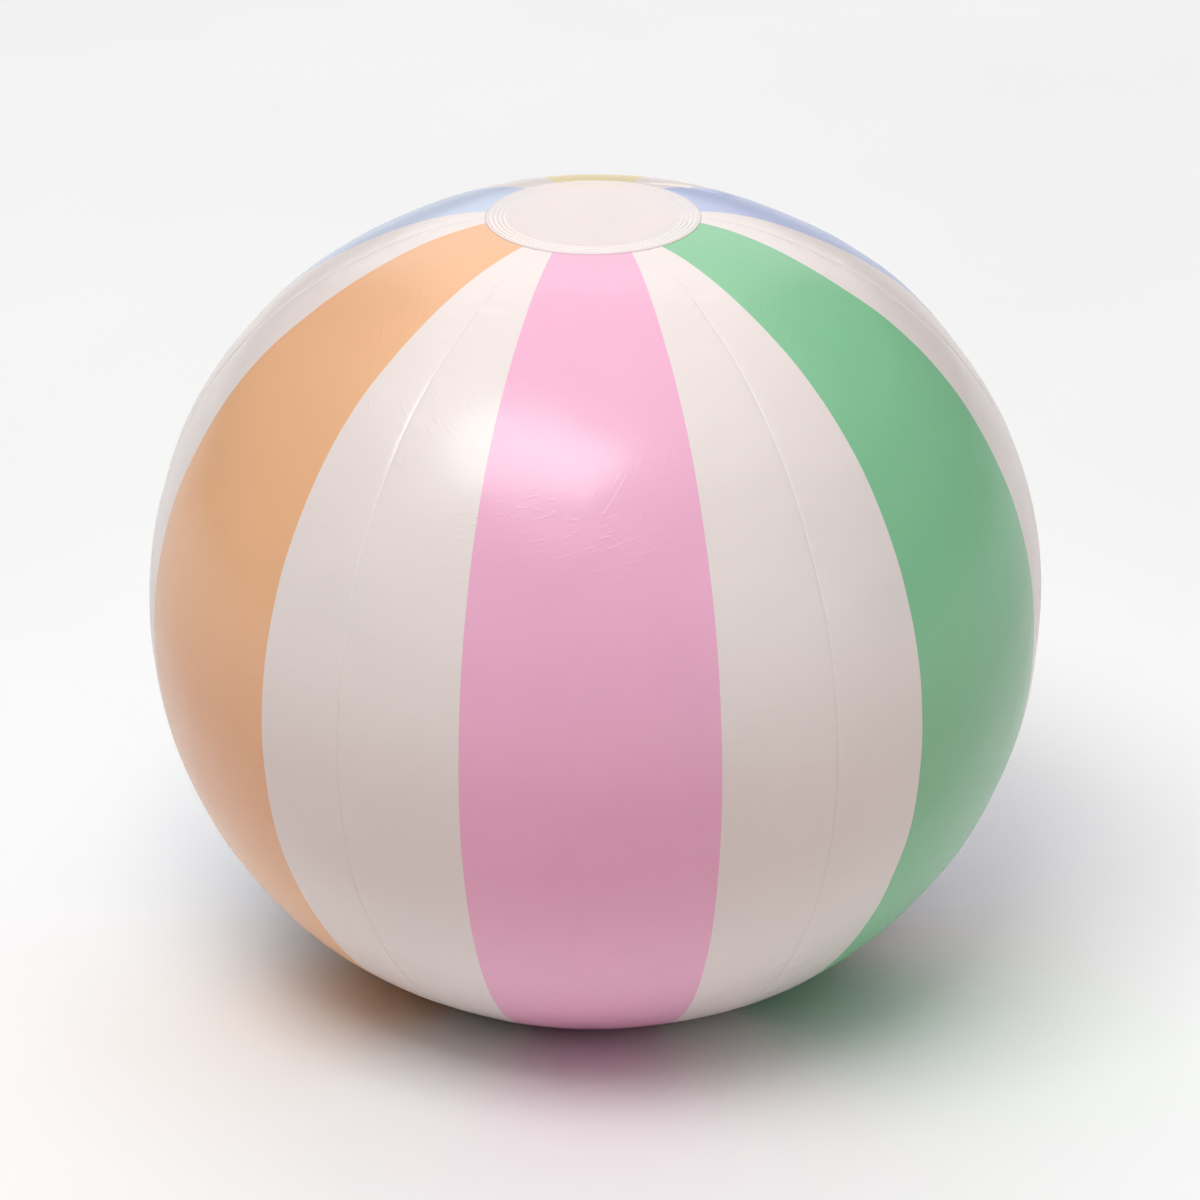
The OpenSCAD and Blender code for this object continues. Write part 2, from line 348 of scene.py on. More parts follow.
def rounded(points, radius, steps=4):
    """The closed outline with each corner turned into a short curve. A corner whose
    radius is 0 stays sharp, and so does one on the axis."""
    out = []
    n = len(points)
    for i, (x, y) in enumerate(points):
        size = radius[i] if isinstance(radius, (list, tuple)) else radius
        before, here, after = (Vector(points[(i + k) % n]) for k in (-1, 0, 1))
        size = min(size, 0.45 * (before - here).length, 0.45 * (after - here).length)
        if size <= 0 or abs(x) < 1e-9:
            out.append((x, y))
            continue
        a = here + (before - here).normalized() * size
        b = here + (after - here).normalized() * size
        for k in range(steps + 1):
            t = k / steps
            out.append(tuple((1 - t) ** 2 * a + 2 * t * (1 - t) * here + t * t * b))
    return out


def lathe(name, outline, segments=96):
    """A closed outline (r, z) turned about the z axis."""
    rim = len(outline)
    turn = np.arange(segments) * 2 * math.pi / segments
    r, z = np.array(outline, float).T
    verts = np.stack([np.outer(np.cos(turn), r), np.outer(np.sin(turn), r),
                      np.outer(np.ones(segments), z)], -1).reshape(-1, 3)
    faces = []
    for k in range(segments):
        k2 = (k + 1) % segments
        faces += [(k * rim + j, k2 * rim + j, k2 * rim + (j + 1) % rim, k * rim + (j + 1) % rim)
                  for j in range(rim)]
    obj = new_object(name, verts, faces)
    bm = bmesh.new()
    bm.from_mesh(obj.data)
    bmesh.ops.remove_doubles(bm, verts=bm.verts, dist=1e-7)
    bmesh.ops.dissolve_degenerate(bm, edges=bm.edges, dist=1e-7)
    bmesh.ops.recalc_face_normals(bm, faces=bm.faces)
    bm.to_mesh(obj.data)
    bm.free()
    return obj


def block(low, high, edge=0.2):
    """A box with rounded edges between two corners."""
    bm = bmesh.new()
    bmesh.ops.create_cube(bm, size=1)
    low, high = Vector(low) * MM, Vector(high) * MM
    for v in bm.verts:
        v.co = Vector((low[k] + (v.co[k] + 0.5) * (high[k] - low[k]) for k in range(3)))
    if edge:
        bmesh.ops.bevel(bm, geom=bm.edges[:], offset=edge * MM, segments=3, affect="EDGES",
                        profile=0.6, clamp_overlap=True)
    mesh = bpy.data.meshes.new("block")
    bm.to_mesh(mesh)
    bm.free()
    obj = bpy.data.objects.new("block", mesh)
    bpy.context.scene.collection.objects.link(obj)
    return obj


def rod(radius, low, high, matrix=Matrix(), segments=48):
    """A round bar along z between two levels, moved by a matrix in metres."""
    obj = lathe("rod", [(0, low), (radius, low), (radius, high), (0, high)], segments)
    obj.data.transform(matrix)
    return obj


def cross_rod(radius, half, y, z):
    """A round bar along x, at y and z."""
    turned = Matrix.Translation((0, y * MM, z * MM)) @ Matrix.Rotation(math.pi / 2, 4, "Y")
    return rod(radius, -half, half, turned)


def cut_and_join(obj, joined=(), cut=()):
    """The object with other solids joined to it and then cut from it."""
    for others, operation in ((joined, "UNION"), (cut, "DIFFERENCE")):
        for other in others:
            modifier = obj.modifiers.new("bool", "BOOLEAN")
            modifier.operation = operation
            modifier.solver = "EXACT"
            modifier.object = other
    bpy.context.view_layer.update()
    graph = bpy.context.evaluated_depsgraph_get()
    mesh = bpy.data.meshes.new_from_object(obj.evaluated_get(graph))
    obj.modifiers.clear()
    obj.data = mesh
    for other in (*joined, *cut):
        bpy.data.objects.remove(other)
    return obj


# ---------------------------------------------------------------- materials
def srgb(r, g, b):
    return tuple(((c / 255 + 0.055) / 1.055) ** 2.4 for c in (r, g, b))


class Paint:
    """A node material, with short calls for the nodes that it is built from."""

    def __init__(self, name):
        self.mat = bpy.data.materials.new(name)
        self.mat.use_nodes = True
        self.tree = self.mat.node_tree
        self.bsdf = self.tree.nodes["Principled BSDF"]
        self.pos = self.tree.nodes.new("ShaderNodeTexCoord").outputs["Object"]

    def put(self, socket, value):
        if hasattr(value, "links"):
            self.tree.links.new(value, socket)
        elif isinstance(value, tuple) and len(value) == 3 and socket.type == "RGBA":
            socket.default_value = (*value, 1)
        else:
            socket.default_value = value

    def set(self, **values):
        for key, value in values.items():
            self.put(self.bsdf.inputs[key.replace("_", " ")], value)

    def math(self, operation, a, b=0.0):
        node = self.tree.nodes.new("ShaderNodeMath")
        node.operation = operation
        self.put(node.inputs[0], a)
        self.put(node.inputs[1], b)
        return node.outputs[0]

    def noise(self, scale, detail=2.0, rough=0.5, bend=0.0, vector=None):
        node = self.tree.nodes.new("ShaderNodeTexNoise")
        self.put(node.inputs["Vector"], vector or self.pos)
        self.put(node.inputs["Scale"], scale)
        self.put(node.inputs["Detail"], detail)
        self.put(node.inputs["Roughness"], rough)
        self.put(node.inputs["Distortion"], bend)
        return node.outputs["Fac"]

    def ramp(self, value, a, b, low=0.0, high=1.0):
        node = self.tree.nodes.new("ShaderNodeMapRange")
        node.interpolation_type = "SMOOTHSTEP"
        values = {"Value": value, "From Min": a, "From Max": b, "To Min": low, "To Max": high}
        for name, v in values.items():
            self.put(node.inputs[name], v)
        return node.outputs["Result"]

    def products(self, a, b, c, d):
        """a * b + c * d"""
        return self.math("ADD", self.math("MULTIPLY", a, b), self.math("MULTIPLY", c, d))

    def xyz(self):
        node = self.tree.nodes.new("ShaderNodeSeparateXYZ")
        self.put(node.inputs[0], self.pos)
        return node.outputs["X"], node.outputs["Y"], node.outputs["Z"]

    def mix(self, share, a, b, kind="MIX"):
        node = self.tree.nodes.new("ShaderNodeMix")
        node.data_type = "RGBA"
        node.blend_type = kind
        for socket, v in ((node.inputs["Factor"], share), (node.inputs[6], a), (node.inputs[7], b)):
            self.put(socket, v)
        return node.outputs[2]

    def bump(self, height, strength, distance, normal=None):
        node = self.tree.nodes.new("ShaderNodeBump")
        self.put(node.inputs["Strength"], strength)
        self.put(node.inputs["Distance"], distance)
        self.put(node.inputs["Height"], height)
        if normal:
            self.put(node.inputs["Normal"], normal)
        return node.outputs["Normal"]

    def moved(self, seed):
        node = self.tree.nodes.new("ShaderNodeMapping")
        self.put(node.inputs["Vector"], self.pos)
        node.inputs["Location"].default_value = (seed * 3.17, seed * 1.93, seed * 2.71)
        return node.outputs["Vector"]

    def unrolled(self):
        """The place on the film as if the ball's side were rolled out flat."""
        x, y, z = self.xyz()
        turn = self.math("ARCTAN2", x, self.math("MULTIPLY", y, -1.0))
        join = self.tree.nodes.new("ShaderNodeCombineXYZ")
        self.put(join.inputs[0], self.math("MULTIPLY", turn, UNROLLED_R * MM))
        self.put(join.inputs[1], z)
        return join.outputs[0]

    def wrinkles(self, flat, thin, long, turn, seed):
        """Short, nearly straight wrinkles: peaks of stretched noise, kept in patches."""
        node = self.tree.nodes.new("ShaderNodeMapping")
        node.vector_type = "TEXTURE"
        self.put(node.inputs["Vector"], flat)
        node.inputs["Location"].default_value = (seed * 0.37, seed * 0.23, 0)
        node.inputs["Rotation"].default_value = (0, 0, math.radians(turn))
        node.inputs["Scale"].default_value = (thin * MM, long * MM, 1)
        line = self.ramp(self.noise(1.0, 0.0, 0.5, 0.35, node.outputs["Vector"]), 0.62, 0.80)
        kept = self.ramp(self.noise(19.0, 1.0, 0.5, 0.0, self.moved(seed)), 0.43, 0.64)
        return self.math("MULTIPLY", line, kept)


# radius at which the film is rolled out flat, near the mean one of what shows most
UNROLLED_R = 170

# wrinkles in the film: width and length in mm, and how far they lean from upright
WRINKLES = ((1.2, 9.0, 62), (1.0, 7.0, -75), (1.2, 12.0, -38))


def film_surface(paint, seed, wrinkles=WRINKLES):
    """The satin surface that all the film shares: fine grain, short wrinkles, and a gloss
    that is slightly uneven."""
    normal = paint.bump(paint.noise(2600.0), 0.07, 0.03 * MM)
    flat = paint.unrolled()
    for i, (thin, long, turn) in enumerate(wrinkles):
        lines = paint.wrinkles(flat, thin, long, turn, seed + 3 * i)
        normal = paint.bump(lines, 0.45, 0.09 * MM, normal)
    smears = paint.ramp(paint.noise(17.0), 0.3, 0.75, 0.24, 0.272)
    paint.set(Normal=normal, Roughness=smears, IOR=1.53)


# painted shade: the lower half of the film is painted darker and warmer, standing in for the shade there
# and for light that has passed through the film, and this painted shade fades again near the floor,
# standing in for the light that the floor bounces onto the film
SHADE = (1.02, 0.95, 0.93)
SHADE_DEPTH = 0.87


def a_bit_deeper(color):
    return tuple(c * 0.965 for c in color)


def in_shade(paint, printed, color):
    """What is printed, with painted shade that darkens and tints the lower half by an amount that depends
    on the colour and fades near the floor.
    """
    height = paint.xyz()[2]
    below = paint.ramp(height, (LEVEL - 20) * MM, (LEVEL + 70) * MM, 1.0, 0.0)
    above_floor = paint.ramp(height, 60 * MM, 140 * MM, 0.1, 1.0)
    # painted shade: a darker, warmer multiplier for the lower half
    painted_shade_tint = tuple(SHADE_DEPTH * t * c**0.1 for t, c in zip(SHADE, color))
    return paint.mix(paint.math("MULTIPLY", below, above_floor), printed, painted_shade_tint, "MULTIPLY")


def film_paint(name, color, seed):
    """Vinyl film in one printed colour, slightly uneven over the ball, with painted shade in its lower
    half.
    """
    paint = Paint(name)
    mottle = paint.ramp(paint.noise(9.0, 3.0, 0.55), 0.35, 0.68)
    printed = paint.mix(mottle, color, a_bit_deeper(color))
    # base colour with painted shade darkening the lower half
    paint.set(Base_Color=in_shade(paint, printed, color))
    film_surface(paint, seed)
    return paint.mat


STRIPES = {
    "pink": srgb(250, 184, 214),
    "green": srgb(140, 205, 159),
    "periwinkle": srgb(190, 200, 235),
    "yellow": srgb(247, 228, 176),
    "sky": srgb(204, 215, 238),
    "peach": srgb(247, 190, 146),
}
WHITE = srgb(243, 231, 227)
CAP_WHITE = srgb(234, 221, 219)
# whitened weld colour; on the weld line it also serves as a painted highlight above the widest level
WELD = srgb(250, 243, 240)


def weld_paint():
    """The weld line: whiter than the film, and above the widest level also a painted highlight where its
    groove faces the light from above; below that level it is painted darker as painted shade, with the
    lower half's painted shade over that.
    """
    paint = Paint("weld_line")
    # painted light and shade: the weld line is whiter above the widest level and darker below it
    painted_highlight_share = paint.ramp(paint.xyz()[2], LEVEL * MM, (LEVEL + 110) * MM)
    line = paint.mix(painted_highlight_share, a_bit_deeper(a_bit_deeper(WHITE)), WELD)
    paint.set(Base_Color=in_shade(paint, line, WHITE))
    film_surface(paint, 1.0)
    return paint.mat


def cap_paint(name, seed):
    """The cap's white film. Where it lies on the gores, their stripes show through a bit,
    and the weld rings are whiter."""
    paint = Paint(name)
    x, y, _ = paint.xyz()
    radius = paint.math("SQRT", paint.products(x, x, y, y))
    on_film = paint.ramp(radius, (TIP_R + 1) * MM, (TIP_R + 8) * MM)
    half = paint.math("ADD", paint.math("MULTIPLY", radius, STRIPE_GROWTH), STRIPE_TIP * MM)
    mottle = paint.ramp(paint.noise(14.0, 3.0, 0.55), 0.35, 0.68)
    color = paint.mix(mottle, CAP_WHITE, a_bit_deeper(CAP_WHITE))
    for i, stripe in enumerate(GORES):
        turn = math.radians(FRONT_DEG + i * GORE_DEG)
        along = paint.products(x, math.cos(turn), y, math.sin(turn))
        across = paint.products(y, math.cos(turn), x, -math.sin(turn))
        outside = paint.math("SUBTRACT", paint.math("ABSOLUTE", across), half)
        shown = paint.math("MULTIPLY", paint.ramp(outside, -0.9 * MM, 0.9 * MM, 1.0, 0.0), on_film)
        shown = paint.math("MULTIPLY", shown, paint.ramp(along, 0.0, 5 * MM, 0.0, 0.11))
        color = paint.mix(shown, color, STRIPES[stripe])
    wave = paint.math("SINE", paint.math("MULTIPLY", radius, 2 * math.pi / (RING_STEP * MM)))
    first, last = RING_RADII[0], RING_RADII[-1]
    in_rings = paint.math(
        "MULTIPLY",
        paint.ramp(radius, (first - 1.4) * MM, (first - 0.8) * MM),
        paint.ramp(radius, (last + 1.2) * MM, (last + 1.6) * MM, 1.0, 0.0),
    )
    lines = paint.math("MULTIPLY", paint.ramp(wave, 0.2, 0.9), in_rings)
    color = paint.mix(paint.math("MULTIPLY", lines, 0.85), color, WELD)
    paint.set(Base_Color=color)
    film_surface(paint, seed, ())
    return paint.mat


def valve_paint(name, color):
    """Soft milky moulded vinyl."""
    paint = Paint(name)
    cloud = paint.ramp(paint.noise(160.0, 3.0), 0.35, 0.7)
    paint.set(
        Base_Color=paint.mix(cloud, color, tuple(0.94 * c for c in color)),
        Roughness=paint.ramp(paint.noise(420.0, 3.0, 0.6), 0.3, 0.7, 0.28, 0.38),
        Normal=paint.bump(paint.noise(2200.0, 3.0), 0.14, 0.04 * MM),
        Subsurface_Weight=0.25, Subsurface_Scale=0.004, IOR=1.52,
    )
    return paint.mat


# ---------------------------------------------------------------- gores
def column_plan(fine):
    """Columns across a gore, as (kind, share). Kind -1 or 1 is the white band on that
    side, with the share of the way from the seam to the stripe. Kind 0 is the stripe,
    with the share from its left border at -1 to its right one at 1."""
    band_w = 49.2
    near_seam = [0, 0.3, 0.65, 1.05, 1.55, 2.2, 3.0, 4.0, 5.3, 7, 9, 11.4, 14.2, 17.6, 21.6, 26.2]
    band = np.array(near_seam + [31.4, 37, 43, band_w]) / band_w
    if fine:
        middle = np.r_[np.linspace(-1, -0.62, 6), np.linspace(-0.58, 0.58, 56), np.linspace(0.62, 1, 6)]
    else:
        middle = np.linspace(-1, 1, 25)
    columns = [(-1, share) for share in band]
    columns += [(0, share) for share in middle[1:-1]]
    columns += [(1, share) for share in band[::-1]]
    return np.array(columns).T


def row_plan(fine):
    """Arc lengths of the rows of a gore, closer together by the cap, and closer together
    round the valve where the gore has it."""
    s = [0.0, 3, 6, 9, 11.5, *np.arange(13, 24, 0.8)]
    s += list(np.arange(s[-1] + 1.4, BASE_EDGE - 7, 2.0))
    s = np.array(s + list(np.arange(s[-1] + 2.5, LENGTH - 1.5, 3.2)))
    if fine:
        at = arc_at_height(VALVE.z / MM - LEVEL)
        s = np.r_[s[s < at - 26], np.arange(at - 25, at + 26, 0.9), s[s > at + 27]]
    return np.r_[s, LENGTH]


def gore_skin(i, kind, share, rows):
    """Angles, section values and displacement of a gore's outer face."""
    s = np.repeat(rows[:, None], len(kind), 1)
    r, z, out_r, out_z = section_at(s)
    half = np.degrees((STRIPE_GROWTH * r + STRIPE_TIP) / r)
    edge = GORE_DEG / 2
    after, before = edge + SEAM_TURN[i], edge - SEAM_TURN[i - 1]
    to_edge = np.where(kind > 0, after, before)
    local = np.where(kind == 0, share * half, kind * (to_edge - share * (to_edge - half)))
    azimuth = GORE_DEG * i + local
    turn = np.radians(FRONT_DEG + azimuth)
    p = np.stack([r * np.cos(turn), r * np.sin(turn), z], -1)
    from_seam = np.radians(np.where(local > 0, after, before) - np.abs(local)) * r

    calm = 0.4 + 0.6 * smooth_step(50, 130, s)
    film = undulation(p) * calm + crease_shift(azimuth, s, r)
    groove = np.zeros_like(s)
    for side, seam in ((-1, SEAMS[i - 1]), (1, SEAMS[i])):
        part = np.sign(local) == side
        groove[part] = seam.shift(-side, s[part], from_seam[part])
    film *= smooth_step(CAP_EDGE, CAP_EDGE + 14, s)
    groove *= smooth_step(CAP_EDGE - 10, CAP_EDGE, s)
    shift = (film + groove) * (1 - smooth_step(BASE_EDGE - 15, BASE_EDGE + 5, s))
    if GORES[i] == "yellow":
        shift += valve_shift(p)
    return {"s": s, "r": r, "z": z, "out_r": out_r, "out_z": out_z, "turn": turn,
            "from_seam": from_seam, "shift": shift}


def gore_points(g, column, depth, turned=0.0):
    """Points of one column, moved in by a depth and along the turn by a length."""
    inwards = g["shift"][:, column] - depth
    r = g["r"][:, column] + g["out_r"][:, column] * inwards
    z = g["z"][:, column] + g["out_z"][:, column] * inwards
    turn = g["turn"][:, column] + turned / g["r"][:, column]
    return np.stack([r * np.cos(turn), r * np.sin(turn), z], -1)


def gore_film(i):
    """One gore as a closed thin shell, with its weld fins turned inwards."""
    name = GORES[i]
    fine = name == "yellow"
    kind, share = column_plan(fine)
    rows = row_plan(fine)
    g = gore_skin(i, kind, share, rows)
    last = len(kind) - 1
    gap = 0.02
    fins = smooth_step(CAP_EDGE + 4, CAP_EDGE + 14, rows)
    fins = fins * (1 - smooth_step(BASE_EDGE - 11, BASE_EDGE - 1, rows))
    deep = FILM_T + FIN_DEPTH * np.maximum(fins, 0.02)
    wide = g["from_seam"][len(rows) // 2] > 1.6
    inner = [j for j in range(last + 1) if wide[j]][::2]
    ring = [gore_points(g, 0, deep / 2, gap), gore_points(g, 0, deep, gap),
            gore_points(g, 0, deep, gap + FILM_T), gore_points(g, 0, FILM_T, gap + FILM_T)]
    ring += [gore_points(g, j, FILM_T) for j in inner]
    ring += [gore_points(g, last, FILM_T, -gap - FILM_T), gore_points(g, last, deep, -gap - FILM_T),
             gore_points(g, last, deep, -gap), gore_points(g, last, deep / 2, -gap)]
    first_outer = len(ring)
    ring += [gore_points(g, j, 0.0) for j in range(last, -1, -1)]
    n = len(ring)
    verts = np.stack(ring, 1).reshape(-1, 3)

    # slot 0 is white film, 1 the stripe, 2 the line along the weld, whiter with a painted highlight above
    # the widest level and darker with painted shade below it
    slots_across = np.zeros(n, int)
    for c in range(first_outer, n - 1):
        j = last - (c - first_outer)
        if kind[j] == 0 or kind[j - 1] == 0:
            slots_across[c] = 1
        elif max(g["from_seam"][len(rows) // 2, [j, j - 1]]) < 0.4:
            slots_across[c] = 2
    faces, slots = [], []
    for q in range(len(rows) - 1):
        for c in range(n):
            c2 = (c + 1) % n
            faces.append((q * n + c, q * n + c2, (q + 1) * n + c2, (q + 1) * n + c))
            slots.append(slots_across[c])
    faces += [tuple(range(n)), tuple(range(len(verts) - 1, len(verts) - 1 - n, -1))]
    slots += [0, 0]
    obj = new_object(name + "_gore_film", verts, faces)
    obj.data.polygons.foreach_set("material_index", slots)
    return obj


def make_gores():
    white = film_paint("white_film", WHITE, 1.0)
    weld = weld_paint()
    for i, name in enumerate(GORES):
        obj = gore_film(i)
        stripe = film_paint(name + "_stripe", STRIPES[name], 2.0 + i)
        for mat in (white, stripe, weld):
            obj.data.materials.append(mat)
        if name == "yellow":
            cut_and_join(obj, cut=[rod(HOLE_R, -6, 6, AT_VALVE, 128)])
        finished(obj, "skin")
        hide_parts("gore_" + name)


# ---------------------------------------------------------------- caps
def cap_outline(dome, bead):
    """Half section of a cap lying on z = 0: weld rings in its outer face, a soft dome in
    the middle and a rounded rim."""
    dome_r = 36.0
    inner = np.linspace(0, dome_r, 13)
    lift = dome * (1 - (inner / dome_r) ** 2) ** 2
    outer = np.arange(37, CAP_R - 0.8, 0.2)
    groove = sum(bell((outer - ring_r) / 0.3) for ring_r in RING_RADII)
    edge = sum(bell((np.abs(outer - ring_r) - 0.8) / 0.28) for ring_r in RING_RADII)
    face = [(r, CAP_T + h) for r, h in zip(inner, lift)]
    face += [(r, CAP_T - 0.2 * a + bead * b) for r, a, b in zip(outer, groove, edge)]
    rim = [
        (CAP_R - 0.5, 0.8 * CAP_T), (CAP_R - 0.2, 0.45 * CAP_T), (CAP_R, 0.05),
        (CAP_R - 0.1, -0.2), (CAP_R - 1, 0),
    ]
    back = [(r, h) for r, h in zip(inner[::-1], lift[::-1])]
    return face + rim + back


def cap(name, node, level, upwards, seed):
    """A cap whose inner face is at a level."""
    dome, bead = (0.35, 0.05) if upwards else (0.0, 0.0)
    obj = lathe(name, cap_outline(dome, bead), 240)
    turned = Matrix.Identity(4) if upwards else Matrix.Rotation(math.pi, 4, "X")
    obj.data.transform(Matrix.Translation((0, 0, level)) @ turned)
    obj.data.materials.append(cap_paint(name + "_vinyl", seed))
    finished(obj, "skin", 60)
    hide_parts(node)


def make_caps():
    cap("upper_cap_film", "top_cap", CAP_LOW.z, True, 11.0)
    cap("lower_cap_film", "bottom_cap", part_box("bottom_cap")[1].z, False, 12.0)


# ---------------------------------------------------------------- valve
# Sizes of the valve's pieces. Levels are measured from the stem's mouth, outwards.
BORE_R, SEAT_R, STEM_R, COLLAR_R = 3.5, 4.2, 5.5, 7.0
COLLAR_T, BEAD_DEPTH, BEAD_H, BEAD_R = 1.4, 5.1, 0.9, 6.25
CRADLE_HALF, CRADLE_R, CRADLE_H = 2.3, 9.9, 2.4
STRAP_Y, STRAP_HALF, STRAP_BAR_R, STRAP_LEVEL = 8.2, 1.6, 0.9, 0.55
HOOK_HALF, HOOK_R, HOOK_H = 2.2, 7.9, 2.5
FLAP_Y, FLAP_BAR_R, FLAP_R, FLAP_T, FLAP_LEVEL = 6.4, 0.6, 4.7, 0.8, -17.55
HEAD_R, HEAD_LOW, HEAD_TOP, PLUG_R, TIP_END_R, PLUG_LEN = 6.0, 0.15, 1.45, 4.12, 3.2, 4.1
TAB_END, STRAP_T = 9.0, 0.8
BAR_GAP = 0.05


def stem():
    outline = [
        (BORE_R, -STEM_LEN), (BORE_R, -SEAT_DEPTH - 0.25), (SEAT_R, -SEAT_DEPTH), (SEAT_R, 0),
        (COLLAR_R, 0), (COLLAR_R, -COLLAR_T), (STEM_R, -COLLAR_T), (STEM_R, -BEAD_DEPTH),
        (BEAD_R, -BEAD_DEPTH), (BEAD_R, -BEAD_DEPTH - BEAD_H), (STEM_R, -BEAD_DEPTH - BEAD_H),
        (STEM_R, -STEM_LEN),
    ]
    corners = [0.2, 0.1, 0, 0.25, 0.35, 0.35, 0.15, 0.1, 0.3, 0.3, 0.1, 0.2]
    obj = lathe("valve_stem_tube", rounded(outline, corners), 128)
    cradle = block((-CRADLE_HALF, COLLAR_R - 1, -CRADLE_H), (CRADLE_HALF, CRADLE_R, -0.02), 0.25)
    wall = block((-CRADLE_HALF, STRAP_Y, -CRADLE_H + 0.1),
                 (CRADLE_HALF, CRADLE_R - 0.01, STRAP_LEVEL), 0.15)
    hook = block((-HOOK_HALF, STEM_R - 1, -STEM_LEN + 0.02),
                 (HOOK_HALF, HOOK_R, -STEM_LEN + HOOK_H), 0.25)
    lip = block((-HOOK_HALF + 0.01, FLAP_Y, FLAP_LEVEL),
                (HOOK_HALF - 0.01, HOOK_R - 0.01, FLAP_LEVEL + HOOK_H), 0.15)
    cut_and_join(
        obj,
        joined=[cradle, wall, hook, lip],
        cut=[cross_rod(STRAP_BAR_R + BAR_GAP, CRADLE_HALF + 1, STRAP_Y, STRAP_LEVEL),
             cross_rod(FLAP_BAR_R + BAR_GAP, HOOK_HALF + 1, FLAP_Y, FLAP_LEVEL)],
    )
    return obj


def plug():
    """Plug, head with a raised rim, strap with its bar, and a ribbed pull tab."""
    outline = [
        (0, -PLUG_LEN), (TIP_END_R, -PLUG_LEN), (PLUG_R, -0.4), (PLUG_R, HEAD_LOW),
        (HEAD_R, HEAD_LOW), (HEAD_R, HEAD_TOP), (HEAD_R - 0.9, HEAD_TOP), (HEAD_R - 1.2, HEAD_TOP - 0.22),
        (1.4, HEAD_TOP - 0.22), (1.1, HEAD_TOP - 0.05), (0, HEAD_TOP - 0.05),
    ]
    corners = [0, 0.5, 0.2, 0.1, 0.3, 0.45, 0.15, 0.15, 0.15, 0.2, 0]
    obj = lathe("valve_plug_body", rounded(outline, corners), 128)
    strap = block((-STRAP_HALF, HEAD_R - 1, HEAD_LOW + 0.02),
                  (STRAP_HALF, STRAP_Y, HEAD_LOW + STRAP_T), 0.15)
    bar = cross_rod(STRAP_BAR_R, STRAP_HALF, STRAP_Y, STRAP_LEVEL)
    tab_low = HEAD_TOP - STRAP_T
    tab = block((-STRAP_HALF, -TAB_END, tab_low), (STRAP_HALF, -HEAD_R + 1, HEAD_TOP - 0.12), 0.2)
    ribs = [block((-STRAP_HALF + 0.35, -y - 0.14, tab_low + 0.2),
                  (STRAP_HALF - 0.35, -y + 0.14, HEAD_TOP), 0.1)
            for y in (6.7, 7.4, 8.1)]
    return cut_and_join(obj, joined=[strap, bar, tab, *ribs])


def flap():
    low, high = FLAP_LEVEL - FLAP_T / 2, FLAP_LEVEL + FLAP_T / 2
    outline = [(0, low), (FLAP_R, low), (FLAP_R, high), (0, high)]
    obj = lathe("check_flap_disc", rounded(outline, [0, 0.25, 0.25, 0]), 96)
    tab = block((-STRAP_HALF, FLAP_R - 1, low + 0.01), (STRAP_HALF, FLAP_Y, high - 0.01), 0.12)
    return cut_and_join(obj, joined=[tab, cross_rod(FLAP_BAR_R, STRAP_HALF, FLAP_Y, FLAP_LEVEL)])


def boot():
    """Thin cup from the welded base in to the stem's bead. Levels are from the film."""
    wall = 0.24
    middle = [(11.76, -0.86), (11.72, -2.4), (11.6, -4.0), (11.15, -5.25), (10.0, -6.1),
              (8.6, -6.7), (7.3, -7.1), (6.34, -7.15)]
    line = np.array(middle)
    for _ in range(3):
        finer = np.stack([0.75 * line[:-1] + 0.25 * line[1:], 0.25 * line[:-1] + 0.75 * line[1:]], 1)
        line = np.vstack([line[:1], finer.reshape(-1, 2), line[-1:]])
    way = np.gradient(line, axis=0)
    way /= np.hypot(*way.T)[:, None]
    side = np.c_[-way[:, 1], way[:, 0]] * wall
    outline = np.vstack([line + side, (line - side)[::-1]])
    return lathe("valve_boot_web", [tuple(p) for p in outline], 128)


def make_valve():
    clear = valve_paint("valve_vinyl", (0.80, 0.82, 0.82))
    plug_mat = valve_paint("plug_vinyl", (0.86, 0.87, 0.87))
    for obj, node, body, mat, slot in (
        (stem(), "valve_stem", "stem", clear, "valve_vinyl"),
        (plug(), "valve_plug", "plug", plug_mat, "plug_vinyl"),
        (flap(), "check_flap", "flap", clear, "valve_vinyl"),
    ):
        obj.data.transform(AT_MOUTH)
        obj.data.materials.clear()
        obj.data.materials.append(mat)
        finished(obj, body)
        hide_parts(node)
    web = boot()
    web.data.transform(AT_VALVE)
    web.data.materials.append(clear)
    finished(web, None, 60)
    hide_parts("valve_boot")
    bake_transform(web)
    flange = frame["nodes"]["valve_flange"]
    flange.data.materials.clear()
    flange.data.materials.append(clear)


# ---------------------------------------------------------------- stage, light and camera
def make_floor():
    half = 12000
    corners = [(-half, -half, 0), (half, -half, 0), (half, half, 0), (-half, half, 0)]
    floor = new_object("floor", corners, [(0, 1, 2, 3)])
    paint = Paint("pale_paper")
    tone = paint.ramp(paint.noise(3.0, 3.0), 0.3, 0.7)
    paint.set(
        Base_Color=paint.mix(tone, (0.93, 0.93, 0.93), (0.95, 0.95, 0.95)),
        Roughness=0.85,
    )
    paint.bsdf.inputs["Specular IOR Level"].default_value = 0.1
    floor.data.materials.append(paint.mat)


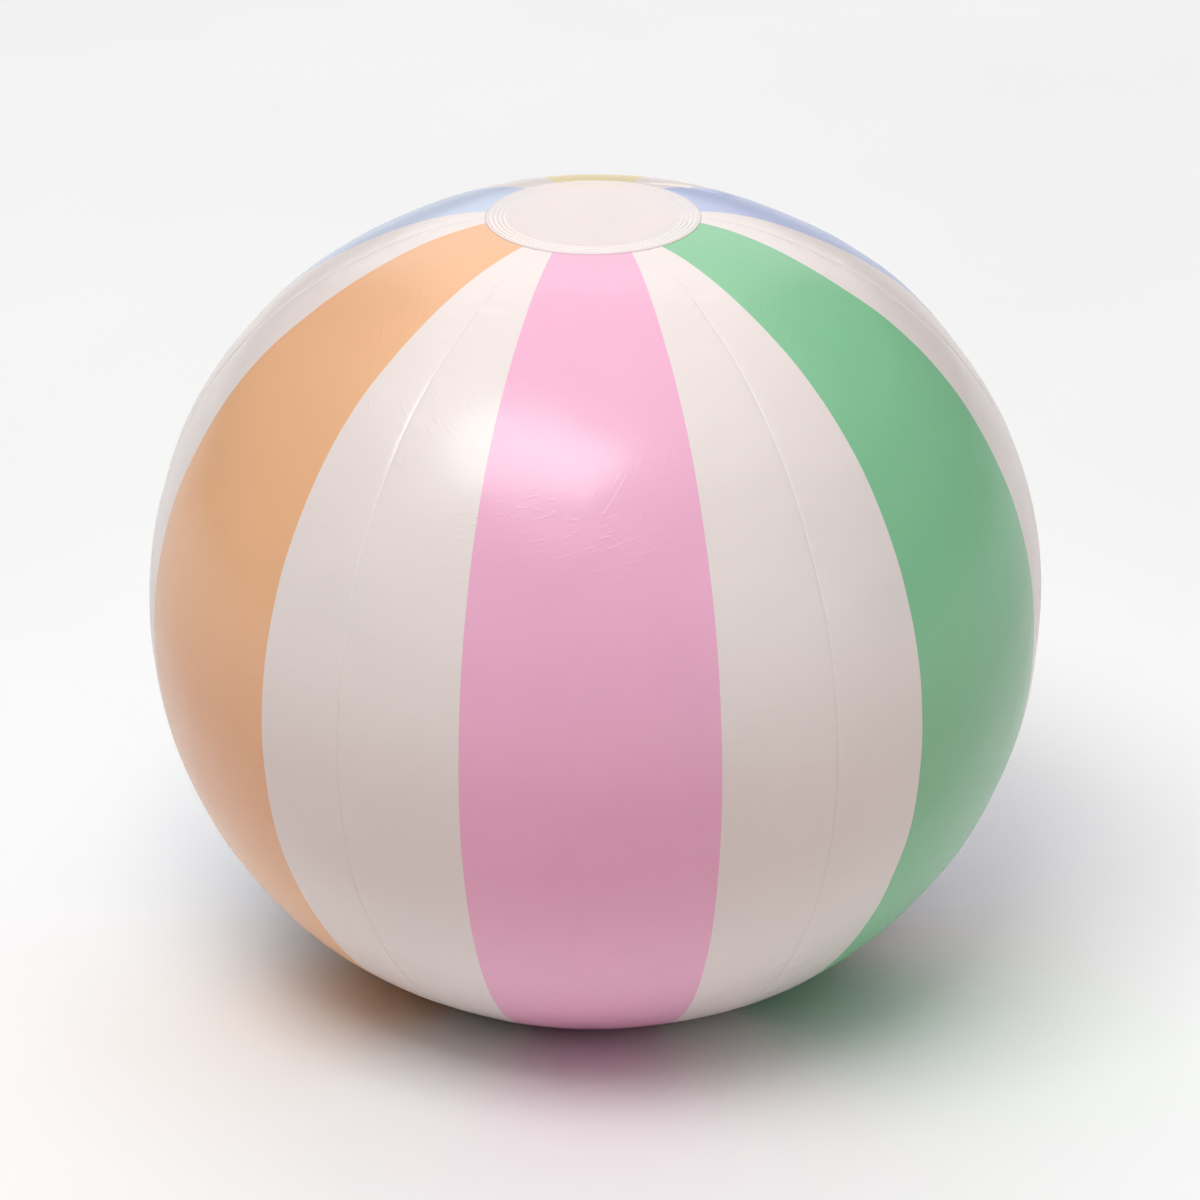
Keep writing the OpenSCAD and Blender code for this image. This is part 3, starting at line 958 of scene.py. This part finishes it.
def make_sky():
    """A dim room under a wide, bright ceiling."""
    ceiling, dim = 1.2, 0.03
    world = bpy.data.worlds.new("studio")
    world.use_nodes = True
    nodes, links = world.node_tree.nodes, world.node_tree.links
    place = nodes.new("ShaderNodeTexCoord")
    split = nodes.new("ShaderNodeSeparateXYZ")
    lobe = nodes.new("ShaderNodeMapRange")
    lobe.interpolation_type = "SMOOTHSTEP"
    for name, value in (("From Min", 0.55), ("From Max", 1.0), ("To Min", dim), ("To Max", ceiling)):
        lobe.inputs[name].default_value = value
    links.new(place.outputs["Generated"], split.inputs[0])
    links.new(split.outputs["Z"], lobe.inputs["Value"])
    links.new(lobe.outputs["Result"], nodes["Background"].inputs["Strength"])
    nodes["Background"].inputs["Color"].default_value = (1, 1, 1, 1)
    bpy.context.scene.world = world
    bpy.context.scene.view_settings.view_transform = "Standard"


MIDDLE = Vector((0, 0, LEVEL * MM))


def softbox(name, way, distance, width, height, power):
    """A rectangular area light in a direction from the ball's middle."""
    light = bpy.data.lights.new(name, "AREA")
    light.shape = "RECTANGLE"
    light.size = width
    light.size_y = height
    light.energy = power
    obj = bpy.data.objects.new(name, light)
    bpy.context.scene.collection.objects.link(obj)
    way = Vector(way).normalized()
    obj.location = MIDDLE + way * distance
    obj.rotation_euler = way.to_track_quat("Z", "Y").to_euler()


def make_camera():
    elevation, azimuth, roll = math.radians(24.61), math.radians(0.67), math.radians(-0.29)
    distance = 2.1108
    target = Vector((2.1 * MM, 0, (LEVEL - 3.4) * MM))
    flat = math.cos(elevation)
    away = Vector((math.sin(azimuth) * flat, -math.cos(azimuth) * flat, math.sin(elevation)))
    data = bpy.data.cameras.new("camera")
    data.sensor_width = 36.0
    data.lens = 140.58
    data.clip_end = 60
    camera = bpy.data.objects.new("camera", data)
    bpy.context.scene.collection.objects.link(camera)
    turned = away.to_track_quat("Z", "Y").to_matrix().to_4x4() @ Matrix.Rotation(roll, 4, "Z")
    camera.matrix_world = Matrix.Translation(target + away * distance) @ turned
    bpy.context.scene.camera = camera


make_gores()
make_caps()
make_valve()
make_floor()
make_sky()
softbox("key", (-0.2, -0.37, 0.9), 2.6, 1.75, 1.1, 33.0)
softbox("front", (0.8, -0.6, 0.25), 3.0, 2.4, 2.4, 8.5)
softbox("back", (0.0, 0.8, 0.6), 3.2, 3.0, 3.0, 31.0)
make_camera()
